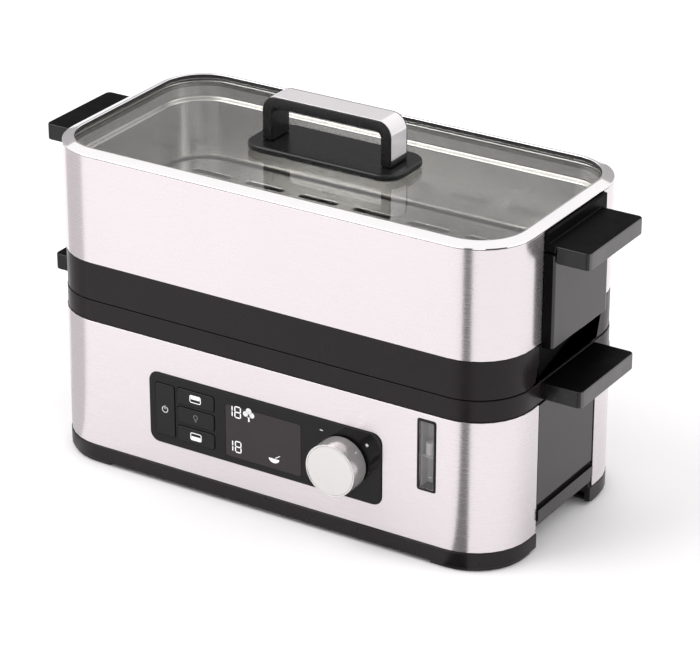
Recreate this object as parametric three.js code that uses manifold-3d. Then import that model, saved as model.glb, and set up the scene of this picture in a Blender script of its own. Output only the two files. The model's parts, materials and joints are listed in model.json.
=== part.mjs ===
// Two-tier electric food steamer: a heated base with a water tank, a lower bowl in a black rim,
// an upper steel-clad bowl and a glass lid with a bail handle.
// Millimetres, +Z up. X runs along the length, -Y is the control side.
// The origin is the middle of the footprint on the surface that the feet stand on.
import * as THREE from 'three';
import { mergeVertices } from 'three/addons/utils/BufferGeometryUtils.js';
import Module from 'manifold-3d';

const wasm = await Module();
wasm.setup();

// Driving dimensions
const GAP = 0.3;                 // clearance between touching pieces
const CORNER_STEPS = 8;          // facets in a quarter turn of the body outline
const BODY = { x: 170.5, y: 84, r: 38 };          // half length, half depth, plan radius of the base cladding
const SKIN = 0.9;                // steel sheet
const WALL = 2.6;                // moulded walls
const SKIRT = { x: 170.7, y: 84.8, r: 38.4, bottom: 2.4, top: 12.8 };
const BASE_TOP = 102.2;
const RIM = { x: 170, y: 83.5, r: 37.7, bottom: 102.6, top: 116.5 };
const COLLAR = { x: 169.6, y: 83.4, r: 37.6, bottom: 117.1, top: 142.8 };
const CLAD = { bottom: 143.1, top: 215.7 };         // upper cladding, on the collar's outline
const CUT_FRONT = -36.8;         // where the front claddings end on each short end
const CUT_REAR = 37.4;           // where the rear cladding starts on the base
const UPPER_CUT = { front: -34.4, rear: 41.4 };     // the same two lines on the upper bowl
const TANK = { x: 160, y: 66, r: 30, cy: 9, floor: 24, deck: 97 };
const HANDLE = { halfY: 34.5, lip: 11.2, shelf: 3.8, skin: 3.2, corner: 3.4 };
const UPPER_SHELF = { reach: 200.8, top: 208.2 };
const LOWER_SHELF = { reach: 198.2, top: RIM.top - 0.2 };
const FASCIA = { x: 87.2, bottom: 29.8, top: 79, r: 7, front: -84.9, back: -83 };
const KNOB = { x: 60, z: 54.5, r: 17.6, front: -101.2, back: -86.4 };
const WINDOW = { x: 119.1, z: 73.9, halfX: 6.3, halfZ: 24.1, lip: 0.9 };
const LID = { x: 169.6, y: 83.5, r: 37.7, bottom: 216.1, shoulder: 216.9, top: 219.4, crown: 6.8, width: 8 };
const GLASS = { x: 164.3, y: 78.2, r: 32.4, bottom: 212.3, top: 216.1 };
const BAIL = { x: 47.4, y: 10.2, top: 251.2, r: 10, thick: 7.3, foot: 221.5 };
const STRIP = { y: 9, thick: 1.2, bottom: 225.8 };  // bright strip let into the bail

const group = new THREE.Group();

// Outlines
function roundedRect(halfX, halfY, radius, cx = 0, cy = 0, steps = CORNER_STEPS) {
  const corners = [[1, -1, -90], [1, 1, 0], [-1, 1, 90], [-1, -1, 180]];
  const points = [];
  for (const [sx, sy, start] of corners) {
    for (let i = 0; i <= steps; i += 1) {
      const angle = THREE.MathUtils.degToRad(start + (90 * i) / steps);
      const x = cx + sx * (halfX - radius) + radius * Math.cos(angle);
      const y = cy + sy * (halfY - radius) + radius * Math.sin(angle);
      points.push(new THREE.Vector2(x, y));
    }
  }
  return points.filter((p, i) => p.distanceTo(points[(i + 1) % points.length]) > 1e-4);
}

function circle(radius, cx = 0, cy = 0, steps = 24) {
  const points = [];
  for (let i = 0; i < steps; i += 1) {
    const angle = (2 * Math.PI * i) / steps;
    points.push(new THREE.Vector2(cx + radius * Math.cos(angle), cy + radius * Math.sin(angle)));
  }
  return points;
}

function inset(spec, d, cy = 0) {
  return roundedRect(spec.x - d, spec.y - d, spec.r - d, 0, cy);
}

// Solids along Z, along -Y (seen from the front) and along X
function slab(points, z0, z1, holes = []) {
  const shape = new THREE.Shape(points);
  for (const hole of holes) {
    shape.holes.push(new THREE.Path(hole));
  }
  const geometry = new THREE.ExtrudeGeometry(shape, { depth: z1 - z0, bevelEnabled: false });
  return geometry.translate(0, 0, z0);
}

function panel(points, front, back, holes = []) {
  return slab(points, 0, back - front, holes).rotateX(Math.PI / 2).translate(0, back, 0);
}

function box(x0, x1, y0, y1, z0, z1) {
  const geometry = new THREE.BoxGeometry(x1 - x0, y1 - y0, z1 - z0);
  return geometry.translate((x0 + x1) / 2, (y0 + y1) / 2, (z0 + z1) / 2);
}

function post(radius, x, y, z0, z1, steps = 20) {
  return slab(circle(radius, x, y, steps), z0, z1);
}

function axle(radius, x, z, y0, y1, steps = 28) {
  return panel(circle(radius, x, z, steps), y0, y1);
}

// Widens a solid steadily with height, from nothing at z0 to the given factors at z1
function flare(geometry, z0, z1, factorX, factorY) {
  const position = geometry.getAttribute('position');
  for (let i = 0; i < position.count; i += 1) {
    const t = THREE.MathUtils.clamp((position.getZ(i) - z0) / (z1 - z0), 0, 1);
    position.setX(i, position.getX(i) * (1 + (factorX - 1) * t));
    position.setY(i, position.getY(i) * (1 + (factorY - 1) * t));
  }
  return geometry;
}

// Booleans
function solid(geometry) {
  const bare = geometry.clone();
  bare.deleteAttribute('normal');
  bare.deleteAttribute('uv');
  const merged = mergeVertices(bare, 1e-4);
  const vertProperties = new Float32Array(merged.getAttribute('position').array);
  const triVerts = new Uint32Array(merged.getIndex().array);
  return new wasm.Manifold(new wasm.Mesh({ numProp: 3, vertProperties, triVerts }));
}

function join(...parts) {
  return parts.map(toSolid).reduce((a, b) => a.add(b));
}

function cut(first, ...tools) {
  return tools.map(toSolid).reduce((a, b) => a.subtract(b), toSolid(first));
}

function meet(a, b) {
  return toSolid(a).intersect(toSolid(b));
}

function toSolid(part) {
  return part.isBufferGeometry ? solid(part) : part;
}

function toGeometry(part) {
  if (part.isBufferGeometry) {
    return part;
  }
  const mesh = part.getMesh();
  const geometry = new THREE.BufferGeometry();
  geometry.setAttribute('position', new THREE.BufferAttribute(new Float32Array(mesh.vertProperties), 3));
  geometry.setIndex(new THREE.BufferAttribute(new Uint32Array(mesh.triVerts), 1));
  geometry.computeVertexNormals();
  return geometry;
}

const STEEL = { color: 0xe6e0e0, roughness: 0.32, metalness: 1 };
const CHROME = { color: 0xf0f0f2, roughness: 0.08, metalness: 1 };
const BLACK = { color: 0x2b292a, roughness: 0.45, metalness: 0 };
const GLOSS = { color: 0x121212, roughness: 0.1, metalness: 0 };
const RUBBER = { color: 0x1a1a1a, roughness: 0.9, metalness: 0 };
const CLEAR = { color: 0xdfe6e4, roughness: 0.02, metalness: 0, transparent: true, opacity: 0.3 };
const BOARD = { color: 0x1f5a38, roughness: 0.6, metalness: 0.1 };
const PALE = { color: 0xd8d8d4, roughness: 0.5, metalness: 0 };

function add(name, part, look) {
  const mesh = new THREE.Mesh(toGeometry(part), new THREE.MeshStandardMaterial(look));
  mesh.name = name;
  group.add(mesh);
}

// ---------------------------------------------------------------- base
const TUB = { x: BODY.x - SKIN - 0.4, y: BODY.y - SKIN - 0.4, r: BODY.r - SKIN - 0.4 };
const BUTTONS = [
  { name: 'power_button', x: -74.8, z: 54.3, halfX: 7.3, halfZ: 18 },
  { name: 'upper_bowl_button', x: -51.1, z: 67.6, halfX: 14.1, halfZ: 5.2 },
  { name: 'light_button', x: -51.1, z: 54.2, halfX: 14.1, halfZ: 5.4 },
  { name: 'lower_bowl_button', x: -51.1, z: 40.9, halfX: 14.1, halfZ: 5.2 },
];
const DISPLAY = { x: 28.7, z: 52.6, halfZ: 18.5 };
const SCREWS = [[-128, -58], [128, -58], [-128, 58], [128, 58]];
const ARCH = { inner: 152, y0: -35.4, y1: 34.2, top: 17 };

function mirrorX(make) {
  for (const [side, label] of [[1, 'right'], [-1, 'left']]) {
    make(side, label);
  }
}

function sideBox(side, x0, x1, y0, y1, z0, z1) {
  return side > 0 ? box(x0, x1, y0, y1, z0, z1) : box(-x1, -x0, y0, y1, z0, z1);
}

const displayHole = roundedRect(DISPLAY.x, DISPLAY.halfZ, 1.5, 0, DISPLAY.z, 3);
const windowHole = roundedRect(WINDOW.halfX + 0.35, WINDOW.halfZ + 0.35, 1.5, WINDOW.x, WINDOW.z, 3);
const GLAND = { x: 118, z: 30, end: -KNOB.front };

function makeChassis() {
  const skirt = slab(inset(SKIRT, 0), SKIRT.bottom, SKIRT.top);
  const wall = slab(inset(TUB, 0), SKIRT.top - 1, BASE_TOP - 0.6);
  const hollow = slab(inset(TUB, WALL), 12, 120);
  const under = slab(inset(TUB, WALL), 0, 9);
  let chassis = cut(join(skirt, wall), hollow, under);
  mirrorX((side) => {
    chassis = chassis.add(solid(sideBox(side, 147, 168, -40, 38, 8.5, 21)));
  });
  mirrorX((side) => {
    const mouth = sideBox(side, ARCH.inner, 180, ARCH.y0, ARCH.y1, -1, ARCH.top);
    const seat = sideBox(side, 165.5, 175, -35.1, 33.4, 21.6, 97.4);
    chassis = cut(chassis, mouth, seat);
  });
  const keys = roundedRect(24.4, 21, 1, -59.6, 54.3, 2);
  const screen = roundedRect(27.3, 17, 1, 0, DISPLAY.z, 2);
  chassis = cut(
    chassis,
    panel(keys, -90, -78),
    panel(screen, -90, -78),
    axle(5, KNOB.x, KNOB.z, -90, -78, 20),
    panel(windowHole, -90, -78),
    axle(6.2, GLAND.x, GLAND.z, 78, 90, 20),
  );
  for (const [x, y] of SCREWS) {
    chassis = chassis.subtract(solid(post(2.1, x, y, 0, 14, 12)));
  }
  return chassis;
}
add('chassis', makeChassis(), BLACK);

const footRing = slab(inset(SKIRT, 1.6), 0, SKIRT.bottom - GAP, [inset(SKIRT, 15)]);
for (const [sx, sy, label] of [[-1, -1, 'fl'], [1, -1, 'fr'], [-1, 1, 'rl'], [1, 1, 'rr']]) {
  const quarter = box(Math.min(122 * sx, 180 * sx), Math.max(122 * sx, 180 * sx),
    Math.min(40 * sy, 90 * sy), Math.max(40 * sy, 90 * sy), -1, 5);
  add(`foot_${label}`, meet(footRing, quarter), RUBBER);
}

const cladBand = slab(inset(BODY, 0), SKIRT.top + GAP, BASE_TOP, [inset(BODY, SKIN)]);
const fasciaHole = roundedRect(FASCIA.x + GAP, (FASCIA.top - FASCIA.bottom) / 2 + GAP, FASCIA.r, 0,
  (FASCIA.top + FASCIA.bottom) / 2, 5);
add('base_front_cladding', cut(
  meet(cladBand, box(-200, 200, -100, CUT_FRONT, 0, 200)),
  panel(fasciaHole, -90, -80),
  panel(windowHole, -90, -80),
), STEEL);
add('base_rear_cladding', cut(
  meet(cladBand, box(-200, 200, CUT_REAR, 100, 0, 200)),
  axle(6.2, GLAND.x, GLAND.z, 80, 90, 20),
), STEEL);

const END = { front: CUT_FRONT + 0.4, rear: CUT_REAR - 2.2 };
mirrorX((side, label) => {
  const plate = sideBox(side, 169.5, 170.5, END.front, END.rear, 17.4, BASE_TOP - 0.4);
  const plug = sideBox(side, 166, 169.6, -34.7, 33, 22, 97);
  const rail = sideBox(side, 169.6, 171.8, END.front, END.rear, 21.6, 29.2);
  const groove = sideBox(side, 169.9, 172, -60, 60, 29.2, 32.5);
  add(`base_end_panel_${label}`, cut(join(plate, plug, rail), groove), BLACK);
});

function slots(countX, countY, pitchX, pitchY, halfX, halfY, cy) {
  const list = [];
  for (let i = 0; i < countX; i += 1) {
    for (let j = 0; j < countY; j += 1) {
      const x = (i - (countX - 1) / 2) * pitchX;
      const y = cy + (j - (countY - 1) / 2) * pitchY;
      list.push(roundedRect(halfX, halfY, halfY * 0.6, x, y, 1));
    }
  }
  return list;
}

const coverOutline = roundedRect(145.5, 79, 33, 0, 0, 5);
const coverHoles = [...SCREWS.map(([x, y]) => circle(2.1, x, y, 12)), ...slots(4, 2, 44, 70, 15, 2.2, 0)];
add('bottom_cover', slab(coverOutline, 5, 7.6, coverHoles), BLACK);
SCREWS.forEach(([x, y], i) => {
  const head = post(3.6, x, y, 3.1, 4.7, 12);
  const shank = post(1.7, x, y, 4.6, 11.4, 12);
  const cross = join(
    box(x - 2, x + 2, y - 0.4, y + 0.4, 2.5, 3.7),
    box(x - 0.4, x + 0.4, y - 2, y + 2, 2.5, 3.7),
  );
  add(`cover_screw_${i + 1}`, cut(join(head, shank), cross), STEEL);
});

const tankDeck = slab(inset(TUB, WALL + 0.4), TANK.deck, TANK.deck + 1.6);
const tankBody = slab(inset(TANK, 0, TANK.cy), TANK.floor, TANK.deck + 1);
const tankHollow = slab(inset(TANK, 1.6, TANK.cy), TANK.floor + 1.6, 120);
add('water_tank', cut(join(tankDeck, tankBody), tankHollow), BLACK);
add('heater_plate', new THREE.LatheGeometry([
  new THREE.Vector2(0, 26), new THREE.Vector2(46, 26), new THREE.Vector2(46, 27.6),
  new THREE.Vector2(44, 29), new THREE.Vector2(0, 29),
], 36).rotateX(Math.PI / 2).translate(0, TANK.cy, 0), STEEL);
add('heating_element', new THREE.LatheGeometry([
  new THREE.Vector2(34, 16.6), new THREE.Vector2(37.5, 18.4), new THREE.Vector2(37.5, 21.8),
  new THREE.Vector2(34, 23.6), new THREE.Vector2(30.5, 21.8), new THREE.Vector2(30.5, 18.4),
  new THREE.Vector2(34, 16.6),
], 36).rotateX(Math.PI / 2).translate(0, TANK.cy, 0), STEEL);
const thermostatTab = box(-14, 14, TANK.cy - 2.5, TANK.cy + 2.5, 16.5, 18.5);
add('thermostat', join(post(9, 0, TANK.cy, 17.5, 23.6, 20), thermostatTab), PALE);

const board = BUTTONS.map((b) => box(b.x - 3, b.x + 3, -74.4, -71, b.z - 3, b.z + 3));
add('control_board', join(box(-82, 82, -71.4, -69.8, 31, 78), ...board), BOARD);
add('encoder_body', cut(box(KNOB.x - 7, KNOB.x + 7, -79.8, -71.8, KNOB.z - 7, KNOB.z + 7),
  axle(3.4, KNOB.x, KNOB.z, -90, -60, 16)), PALE);

const fasciaOutline = roundedRect(FASCIA.x, (FASCIA.top - FASCIA.bottom) / 2, FASCIA.r - GAP, 0,
  (FASCIA.top + FASCIA.bottom) / 2, 5);
const buttonHoles = BUTTONS.map((b) => roundedRect(b.halfX + 0.35, b.halfZ + 0.35, 1.8, b.x, b.z, 3));
add('control_fascia', panel(fasciaOutline, FASCIA.front, FASCIA.back,
  [...buttonHoles, displayHole, circle(4.4, KNOB.x, KNOB.z, 20)]), GLOSS);
const pane = roundedRect(DISPLAY.x - 0.35, DISPLAY.halfZ - 0.35, 1.2, 0, DISPLAY.z, 3);
add('display_window', panel(pane, FASCIA.front, FASCIA.back), CLEAR);
add('display_module', box(-26.8, 26.8, -82.5, -77, DISPLAY.z - 16.6, DISPLAY.z + 16.6), GLOSS);
for (const b of BUTTONS) {
  const cap = panel(roundedRect(b.halfX, b.halfZ, 1.5, b.x, b.z, 3), -85.5, -82.7);
  const stem = axle(2, b.x, b.z, -83, -75.6, 12);
  add(b.name, join(cap, stem), GLOSS);
}

const KNOB_FLOOR = KNOB.front + 4.5;
const knobProfile = [[0, KNOB.front], [KNOB.r - 1, KNOB.front], [KNOB.r, KNOB.front + 1], [KNOB.r, KNOB.back],
  [3.4, KNOB.back], [3.4, KNOB_FLOOR], [0, KNOB_FLOOR]];
function turned(profile, x, z, steps) {
  const points = profile.map(([r, y]) => new THREE.Vector2(r, y));
  return new THREE.LatheGeometry(points, steps).translate(x, 0, z);
}
add('knob', turned(knobProfile, KNOB.x, KNOB.z, 40), STEEL);
add('knob_shaft', axle(3, KNOB.x, KNOB.z, KNOB_FLOOR + 0.4, -74, 16), STEEL);

function windowOutline(d, radius) {
  return roundedRect(WINDOW.halfX - d, WINDOW.halfZ - d, radius, WINDOW.x, WINDOW.z, 3);
}
add('window_frame', panel(windowOutline(0, 1.4), -84.7, -80.9, [windowOutline(WINDOW.lip, 0.9)]), BLACK);
add('water_window', panel(windowOutline(WINDOW.lip + GAP, 0.8), -84.3, -82.4), CLEAR);
const channel = [[-6.6, -80.2], [-6.6, -71.5], [6.6, -71.5], [6.6, -80.2], [4.9, -80.2], [4.9, -73.2],
  [-4.9, -73.2], [-4.9, -80.2]].map(([x, y]) => new THREE.Vector2(WINDOW.x + x, y)).reverse();
const floatStop = box(WINDOW.x - 5, WINDOW.x + 5, -80.2, -73, 71, 72.6);
add('level_channel', join(slab(channel, WINDOW.z - 23.5, WINDOW.z + 22), floatStop), PALE);
add('level_float', post(3.4, WINDOW.x, -77.4, 72.9, 80.9, 20), PALE);

add('cord_gland', turned([[3.4, 79], [5.8, 79], [5.8, 84.3], [8.6, 84.5], [8.6, 86.6], [6.6, 88],
  [4.8, GLAND.end], [3.4, GLAND.end], [3.4, 79]], GLAND.x, GLAND.z, 24), RUBBER);

// ---------------------------------------------------------------- lower bowl
const rimBand = slab(inset(RIM, 0), RIM.bottom, RIM.top, [inset(RIM, 4.5)]);
const rimStep = slab(inset(RIM, 4), 109.4, 112.4, [inset(RIM, 9)]);
add('lower_rim', join(rimBand, rimStep), BLACK);
const LOWER = { x: 150, y: 57, r: 24, cy: 9, floor: 58, top: 113.8 };
const lowerShell = join(
  slab(inset(RIM, 4.9), 112.8, LOWER.top),
  slab(inset(LOWER, 0, LOWER.cy), LOWER.floor, 113.2),
);
const lowerHollow = slab(inset(LOWER, 1.2, LOWER.cy), LOWER.floor + 1.2, 130);
let lowerBowl = cut(lowerShell, lowerHollow);
for (const hole of slots(6, 3, 46, 32, 16, 2.8, LOWER.cy)) {
  lowerBowl = lowerBowl.subtract(solid(slab(hole, 50, 65)));
}
add('lower_bowl', lowerBowl, STEEL);

// Shelf handle with a lip turned down on its three free sides
function shelfHandle(side, root, shelf) {
  const half = (shelf.reach - root) / 2 + 10;
  const mid = shelf.reach - half;
  const outline = roundedRect(half, HANDLE.halfY, HANDLE.corner, side * mid, 0, 4);
  const under = roundedRect(half - HANDLE.skin, HANDLE.halfY - HANDLE.skin, 1,
    side * (mid - HANDLE.skin), 0, 2);
  const keep = sideBox(side, root, 220, -60, 60, 0, 260);
  const hollow = slab(under, shelf.top - 40, shelf.top - HANDLE.shelf);
  return meet(cut(slab(outline, shelf.top - HANDLE.lip, shelf.top), hollow), keep);
}
mirrorX((side, label) => {
  const root = sideBox(side, RIM.x + GAP, RIM.x + 4, -HANDLE.halfY, HANDLE.halfY,
    LOWER_SHELF.top - HANDLE.lip, LOWER_SHELF.top);
  add(`lower_handle_${label}`, join(shelfHandle(side, RIM.x + GAP, LOWER_SHELF), root), BLACK);
});

// ---------------------------------------------------------------- upper bowl
const collarBand = slab(inset(COLLAR, 0), COLLAR.bottom, COLLAR.top, [inset(COLLAR, 4.6)]);
const collarSpigot = slab(inset(COLLAR, 5), 114.4, 121, [inset(COLLAR, 7.4)]);
const collarTie = slab(inset(COLLAR, 4), 118, 121, [inset(COLLAR, 7.4)]);
const collarDeck = slab(inset(COLLAR, 4), 139.6, COLLAR.top, [inset(COLLAR, 17)]);
const collarEnds = [1, -1].map((side) =>
  sideBox(side, 168.6, 172, CUT_FRONT, CUT_REAR, 117.8, COLLAR.top + 1));
add('upper_collar', cut(join(collarBand, collarSpigot, collarTie, collarDeck), ...collarEnds), BLACK);

const upperBand = slab(inset(COLLAR, 0), CLAD.bottom, CLAD.top, [inset(COLLAR, SKIN)]);
add('upper_front_cladding', meet(upperBand, box(-200, 200, -100, UPPER_CUT.front, 0, 260)), STEEL);
add('upper_rear_cladding', meet(upperBand, box(-200, 200, UPPER_CUT.rear, 100, 0, 260)), STEEL);

const PANEL = { x: 177.5, y: 35.3, half: 7, bottom: 139.8, top: 202.6 };
// Black fill between the ends of the upper claddings
const FILL = { back: 168.9, front: UPPER_CUT.front + GAP, rear: UPPER_CUT.rear - GAP };
mirrorX((side, label) => {
  const outline = roundedRect(PANEL.half, PANEL.y, 2.4, side * (PANEL.x - PANEL.half), 0, 3);
  const behind = sideBox(side, 150, COLLAR.x + GAP, -60, 60, 100, 260);
  const block = cut(slab(outline, PANEL.bottom, PANEL.top), behind);
  const hollow = sideBox(side, 160, PANEL.x - WALL, -PANEL.y + WALL, PANEL.y - WALL,
    CLAD.bottom + WALL, PANEL.top - WALL);
  const backing = sideBox(side, FILL.back, 170.2, FILL.front, FILL.rear, CLAD.bottom + 0.1, PANEL.top);
  add(`upper_end_panel_${label}`, cut(join(block, backing), hollow), BLACK);
});
mirrorX((side, label) => {
  const root = sideBox(side, FILL.back, PANEL.x + 3, FILL.front, HANDLE.halfY,
    PANEL.top + GAP, UPPER_SHELF.top);
  const riser = sideBox(side, FILL.back, 172.2, FILL.front, FILL.rear, PANEL.top + GAP, CLAD.top - 0.2);
  add(`upper_handle_${label}`, join(shelfHandle(side, PANEL.x + GAP, UPPER_SHELF), root, riser), BLACK);
});

const MOUTH = { x: 165, y: 78.4, r: 33 };
const upperShell = join(
  slab(inset(COLLAR, SKIN + GAP), 209.6, 211.4),
  slab(inset(MOUTH, 0), 198, 211),
  slab(inset(MOUTH, 4), 150, 199),
);
let upperBowl = cut(upperShell, slab(inset(MOUTH, 1.2), 199.2, 230), slab(inset(MOUTH, 5.2), 151.2, 230));
for (const hole of slots(6, 3, 50, 42, 17, 2.8, 0)) {
  upperBowl = upperBowl.subtract(solid(slab(hole, 140, 155)));
}
add('upper_bowl', upperBowl, STEEL);

const trayHoles = slots(7, 4, 42, 31, 15, 2.8, 0);
const trayPlate = slab(inset(MOUTH, 8), 157, 158.2, trayHoles);
const traySkirt = slab(inset(MOUTH, 8), 151.7, 157.6, [inset(MOUTH, 9.2)]);
add('steam_tray', join(trayPlate, traySkirt), STEEL);

// ---------------------------------------------------------------- lid
const crown = flare(slab(inset(LID, 0), LID.shoulder, LID.top), LID.shoulder, LID.top,
  (LID.x - LID.crown) / LID.x, (LID.y - LID.crown) / LID.y);
add('lid_rim', cut(
  join(slab(inset(LID, 0), LID.bottom, LID.shoulder), crown),
  slab(inset(LID, LID.width), 200, 230),
  slab(inset(LID, 5), 200, GLASS.top + GAP),
), STEEL);
add('lid_gasket', slab(inset(LID, 2.2), 211.8, LID.bottom - GAP, [inset(LID, 5)]), RUBBER);
const POST_X = BAIL.x - BAIL.thick / 2;
const plateHoles = [circle(3, -POST_X, 0, 16), circle(3, POST_X, 0, 16)];
add('lid_glass', slab(inset(GLASS, 0), GLASS.bottom, GLASS.top, plateHoles), CLEAR);

const plateOutline = roundedRect(57, 22.5, 14, 0, 0, 6);
const plateTop = flare(slab(plateOutline, 220, 221.2), 220, 221.2, 56 / 57, 21.5 / 22.5);
add('handle_base', cut(join(slab(plateOutline, GLASS.top + GAP, 220), plateTop),
  ...plateHoles.map((hole) => slab(hole, 210, 230))), BLACK);

// Outline of the bail seen from the front, moved inwards by d
function bailOutline(d) {
  return roundedRect(BAIL.x - d, 40, Math.max(BAIL.r - d, 4), 0, BAIL.top - 40 - d, 6);
}
const bailArch = cut(panel(bailOutline(0), -BAIL.y, BAIL.y), panel(bailOutline(BAIL.thick), -20, 20));
const bailPosts = meet(bailArch, box(-80, 80, -40, 40, BAIL.foot, 300));
const stripBed = cut(
  box(-80, 80, -STRIP.y - GAP, STRIP.y + GAP, STRIP.bottom - GAP, 300),
  panel(bailOutline(STRIP.thick + GAP), -20, 20),
);
const boltHoles = [post(2.5, -POST_X, 0, 200, 226, 16), post(2.5, POST_X, 0, 200, 226, 16)];
add('handle_bail', cut(bailPosts, stripBed, ...boltHoles), BLACK);
const stripArch = cut(panel(bailOutline(0), -STRIP.y, STRIP.y), panel(bailOutline(STRIP.thick), -20, 20));
add('handle_strip', meet(stripArch, box(-80, 80, -40, 40, STRIP.bottom, 300)), CHROME);
mirrorX((side, label) => {
  const x = side * POST_X;
  const head = post(6, x, 0, 209.7, 211.9, 20);
  const slot = box(x - 4, x + 4, -0.6, 0.6, 209, 210.5);
  add(`handle_screw_${label}`, cut(join(head, post(2.2, x, 0, 211.5, 225, 14)), slot), STEEL);
});

export default group;
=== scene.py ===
import json
import math

import bmesh
import bpy
from mathutils import Matrix, Vector


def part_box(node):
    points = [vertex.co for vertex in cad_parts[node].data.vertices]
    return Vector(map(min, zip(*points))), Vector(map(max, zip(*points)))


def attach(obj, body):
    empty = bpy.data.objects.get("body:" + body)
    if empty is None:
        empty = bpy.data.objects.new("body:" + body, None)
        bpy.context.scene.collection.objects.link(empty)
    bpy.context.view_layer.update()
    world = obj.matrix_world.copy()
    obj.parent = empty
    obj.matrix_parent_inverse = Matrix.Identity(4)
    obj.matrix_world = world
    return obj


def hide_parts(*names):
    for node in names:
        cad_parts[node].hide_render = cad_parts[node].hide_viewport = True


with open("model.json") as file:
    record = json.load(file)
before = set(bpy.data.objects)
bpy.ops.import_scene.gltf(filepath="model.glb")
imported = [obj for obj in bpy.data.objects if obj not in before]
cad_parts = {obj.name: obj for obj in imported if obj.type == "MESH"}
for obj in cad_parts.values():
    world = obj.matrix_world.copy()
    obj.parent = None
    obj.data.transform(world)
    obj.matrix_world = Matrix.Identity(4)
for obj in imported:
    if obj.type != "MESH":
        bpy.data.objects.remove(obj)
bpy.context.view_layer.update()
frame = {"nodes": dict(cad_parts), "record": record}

NODES = frame["nodes"]
BODIES = frame["record"]["behaviour"]["bodies"]
BODY_OF = {node: body for body, nodes in BODIES.items() for node in nodes}
MM = 0.001
scene = bpy.context.scene


# ---------------------------------------------------------------- camera, floor and light
CAMERA = {"place": (0.98669, -1.55698, 0.96231), "turn": 32.06, "down": 25.16, "lens": 162.445}
SENSOR_WIDTH = 36.0
FLOOR_HALF = 6.0
FLOOR_DROP = 0.0002
STRIP_START = 0.004
STRIP_RISE = 0.0004
WORLD_COLOUR = (1.0, 0.985, 0.99, 1)
WORLD_STRENGTH = 0.98


def make_camera():
    data = bpy.data.cameras.new("camera")
    data.sensor_width = SENSOR_WIDTH
    data.lens = CAMERA["lens"]
    data.clip_start = 0.05
    camera = bpy.data.objects.new("camera", data)
    camera.location = CAMERA["place"]
    camera.rotation_euler = (math.radians(90 - CAMERA["down"]), 0.0, math.radians(CAMERA["turn"]))
    scene.collection.objects.link(camera)
    scene.camera = camera


def link(name, mesh):
    piece = bpy.data.objects.new(name, mesh)
    scene.collection.objects.link(piece)
    return piece


def flat_mesh(name, half_x, half_y):
    mesh = bpy.data.meshes.new(name)
    corners = [(-half_x, -half_y, 0), (half_x, -half_y, 0),
               (half_x, half_y, 0), (-half_x, half_y, 0)]
    mesh.from_pydata(corners, [], [(0, 1, 2, 3)])
    return mesh


def make_floor(material):
    floor = link("floor", flat_mesh("floor", FLOOR_HALF, FLOOR_HALF))
    floor.location.z = -FLOOR_DROP
    floor.data.materials.append(material)


def hide_from_view(card):
    for ray in ("camera", "diffuse", "transmission", "shadow", "volume_scatter"):
        setattr(card, "visible_" + ray, False)


def make_card(name, azimuth, distance, half_width, low, high, material, centre=(0, 0)):
    """A standing card that only reflections see; its azimuth counts from the front towards +X."""
    card = link(name, flat_mesh(name, half_width, (high - low) / 2))
    turn = math.radians(azimuth)
    card.location = (centre[0] + distance * math.sin(turn), centre[1] - distance * math.cos(turn),
                     (low + high) / 2)
    card.rotation_euler = (math.radians(90), 0, turn)
    card.data.materials.append(material)
    hide_from_view(card)


def make_floor_strip(name, azimuth, reach, half_width, material, centre):
    """A wedge on the floor that only reflections see, widening from a centre towards an azimuth."""
    mesh = bpy.data.meshes.new(name)
    corners = [(-STRIP_START, 0, STRIP_RISE), (-half_width, -reach, STRIP_RISE),
               (half_width, -reach, STRIP_RISE), (STRIP_START, 0, STRIP_RISE)]
    mesh.from_pydata(corners, [], [(0, 1, 2, 3)])
    strip = link(name, mesh)
    strip.location = (centre[0], centre[1], 0)
    strip.rotation_euler.z = math.radians(azimuth)
    mesh.materials.append(material)
    hide_from_view(strip)


def make_area(name, place, target, size, power):
    data = bpy.data.lights.new(name, "AREA")
    data.shape = "RECTANGLE"
    data.size, data.size_y = size
    data.energy = power
    lamp = bpy.data.objects.new(name, data)
    lamp.location = place
    aim = Vector(target) - Vector(place)
    lamp.rotation_euler = aim.to_track_quat("-Z", "Y").to_euler()
    scene.collection.objects.link(lamp)


def make_light():
    world = bpy.data.worlds.new("world")
    world.use_nodes = True
    background = world.node_tree.nodes["Background"]
    background.inputs["Color"].default_value = WORLD_COLOUR
    background.inputs["Strength"].default_value = WORLD_STRENGTH
    scene.world = world
    make_area("key", (-1.3, -1.2, 2.2), (0, 0, 0.1), (1.8, 1.8), 34)
    make_area("fill", (1.6, 0.6, 1.6), (0, 0, 0.1), (1.5, 1.5), 9)
    scene.view_settings.view_transform = "Standard"


# ---------------------------------------------------------------- node helpers
def add(tree, kind, inputs=None, **settings):
    node = tree.nodes.new(kind)
    for key, value in settings.items():
        setattr(node, key, value)
    for key, value in (inputs or {}).items():
        if isinstance(value, bpy.types.NodeSocket):
            tree.links.new(value, node.inputs[key])
        else:
            node.inputs[key].default_value = value
    return node


def blank(name, **sockets):
    """A material with one Principled shader, whose even values are set on its own sockets."""
    material = bpy.data.materials.new(name)
    material.use_nodes = True
    shader = material.node_tree.nodes["Principled BSDF"]
    for key, value in sockets.items():
        shader.inputs[key.replace("_", " ")].default_value = value
    return material, material.node_tree, shader


def noise(tree, scale, detail=3.0, roughness=0.55, offset=(0, 0, 0)):
    """Noise from 0 to 1 in the piece's own coordinates, with so many features a metre an axis."""
    place = add(tree, "ShaderNodeTexCoord")
    mapping = add(tree, "ShaderNodeMapping", {
        "Vector": place.outputs["Object"], "Scale": scale, "Location": offset})
    texture = add(tree, "ShaderNodeTexNoise", {
        "Vector": mapping.outputs["Vector"], "Scale": 1.0, "Detail": detail,
        "Roughness": roughness})
    return texture.outputs["Fac"]


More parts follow.
